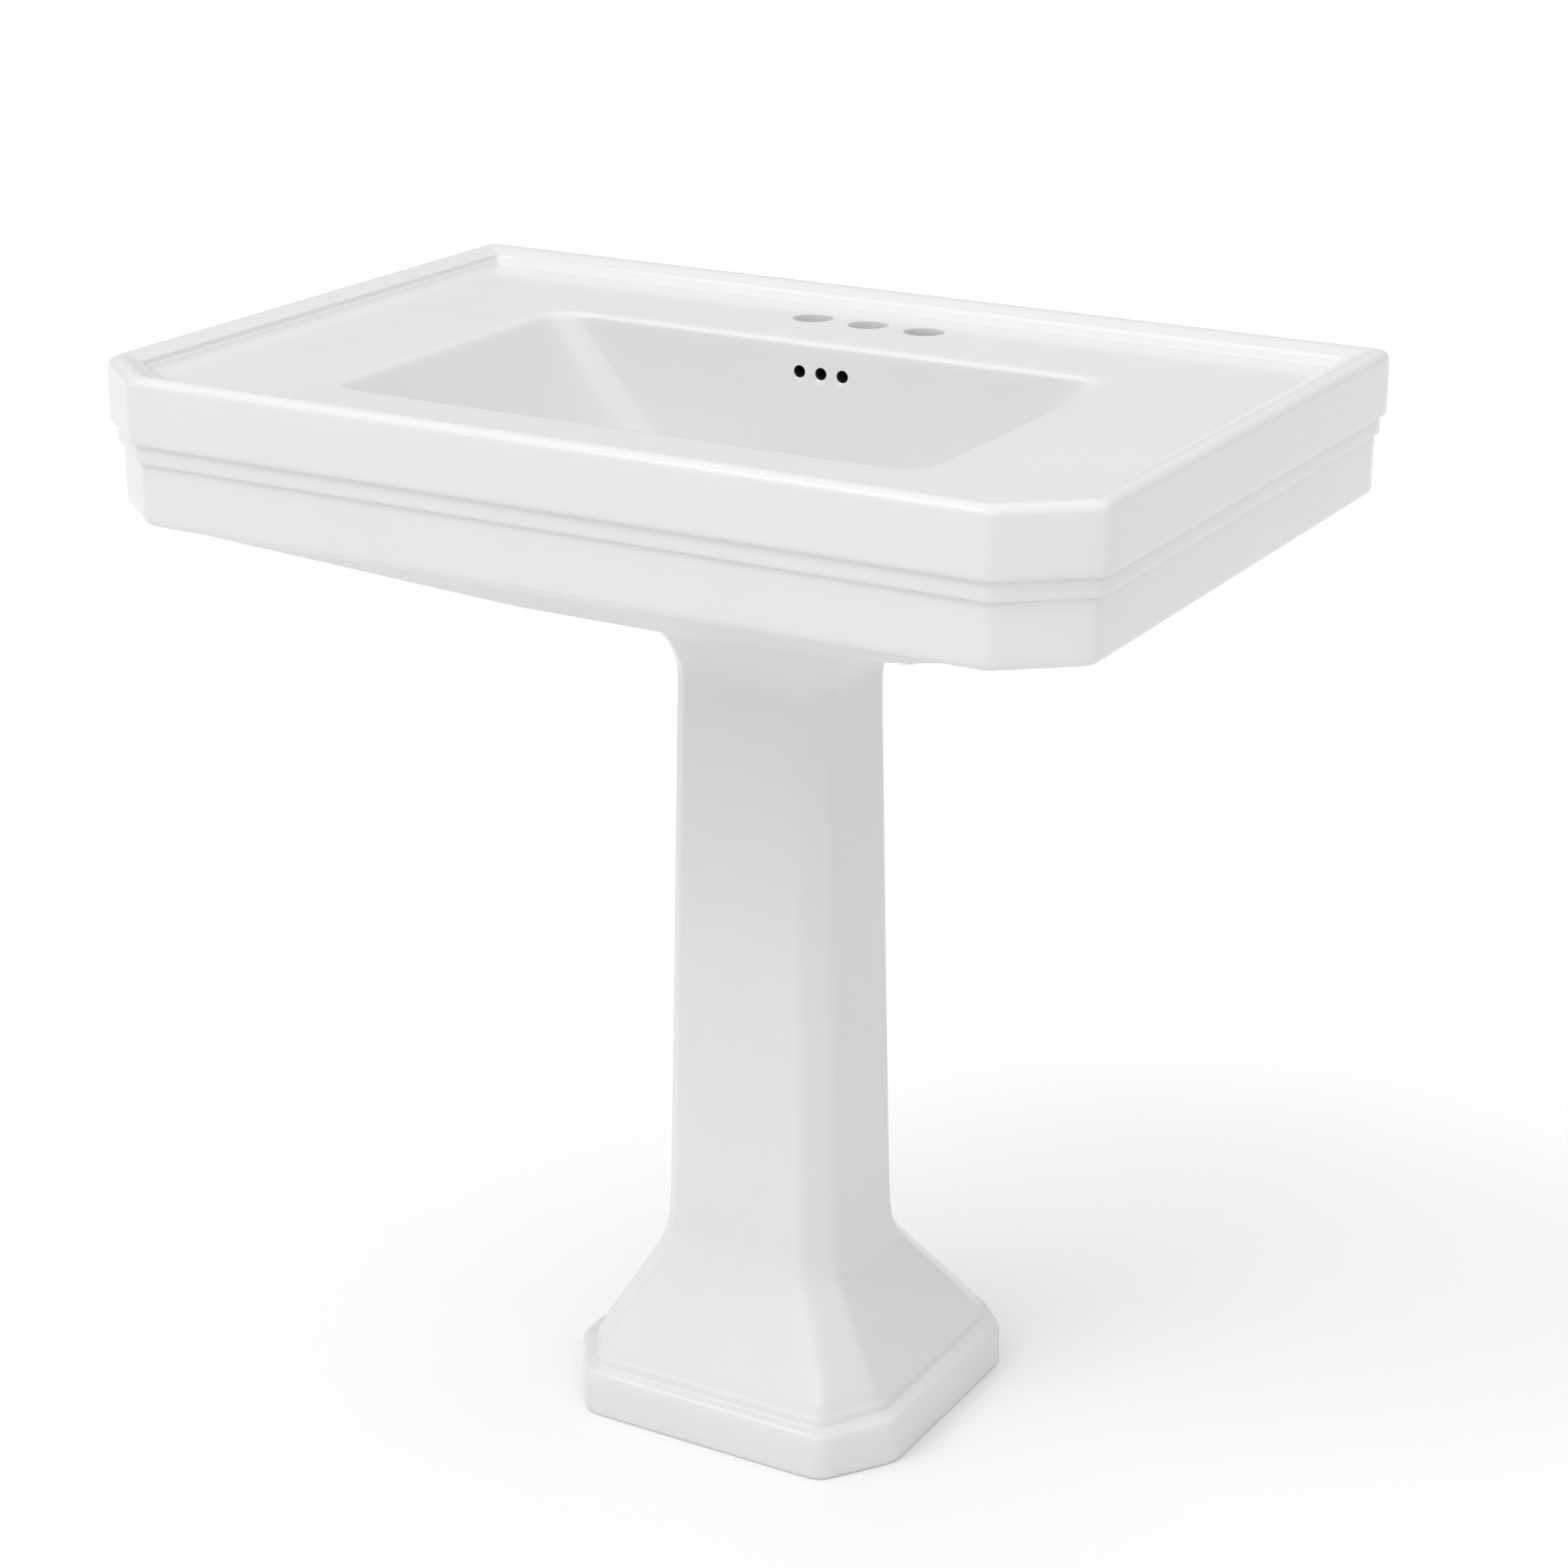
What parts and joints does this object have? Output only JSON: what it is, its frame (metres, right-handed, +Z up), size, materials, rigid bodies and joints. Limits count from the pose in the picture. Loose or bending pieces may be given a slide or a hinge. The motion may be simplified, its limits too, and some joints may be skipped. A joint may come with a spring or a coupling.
{
  "type": "pedestal sink",
  "caption": "Wide rectangular china wash basin with chamfered front corners and stepped apron on a slim flared pedestal, with pop-up drain, trap and wall fixings.",
  "frame": {"origin": "on the floor, on the axis of the pedestal's floor-fixing hole", "axes": "+Z up, +Y towards the wall behind the sink, -Y towards the user, +X across the sink"},
  "size_m": [0.8336, 0.619, 0.906],
  "materials": {
    "china": "gloss white glaze",
    "chrome": "polished",
    "brass": "plain machined",
    "rubber": "matt black",
    "grey_plastic": "moulded acetal",
    "white_plastic": "moulded nylon",
    "zinc_steel": "zinc plated",
    "spring_steel": "drawn wire"
  },
  "bodies": {
    "root": {"basin": "china", "pedestal": "china", "support_pads": "rubber", "drain_body": "chrome", "drain_flange_seal": "rubber", "drain_gasket": "rubber", "drain_slip_washer": "white_plastic", "drain_locknut": "brass", "stopper_cartridge": "grey_plastic", "stopper_spring": "spring_steel", "tailpiece": "chrome", "tailpiece_seal": "rubber", "trap_inlet_nut": "chrome", "trap_inlet_washer": "rubber", "trap_j_bend": "chrome", "trap_outlet_nut": "chrome", "trap_outlet_washer": "rubber", "trap_arm": "chrome", "wall_escutcheon": "chrome", "hanger_bolts": "zinc_steel", "hanger_sleeves": "white_plastic", "hanger_washers": "zinc_steel", "hanger_nuts": "zinc_steel"},
    "stopper": {"stopper_cap": "chrome", "stopper_seal": "rubber", "stopper_stem": "brass"}
  },
  "joints": [
    {"name": "stopper_slide", "type": "slide", "parent": "root", "child": "stopper", "axis": [0, 0, 1], "range_m": [-0.0088, 0], "stiffness_N_per_m": 400, "springref_m": 0.012, "deforming": ["stopper_spring"]}
  ]
}
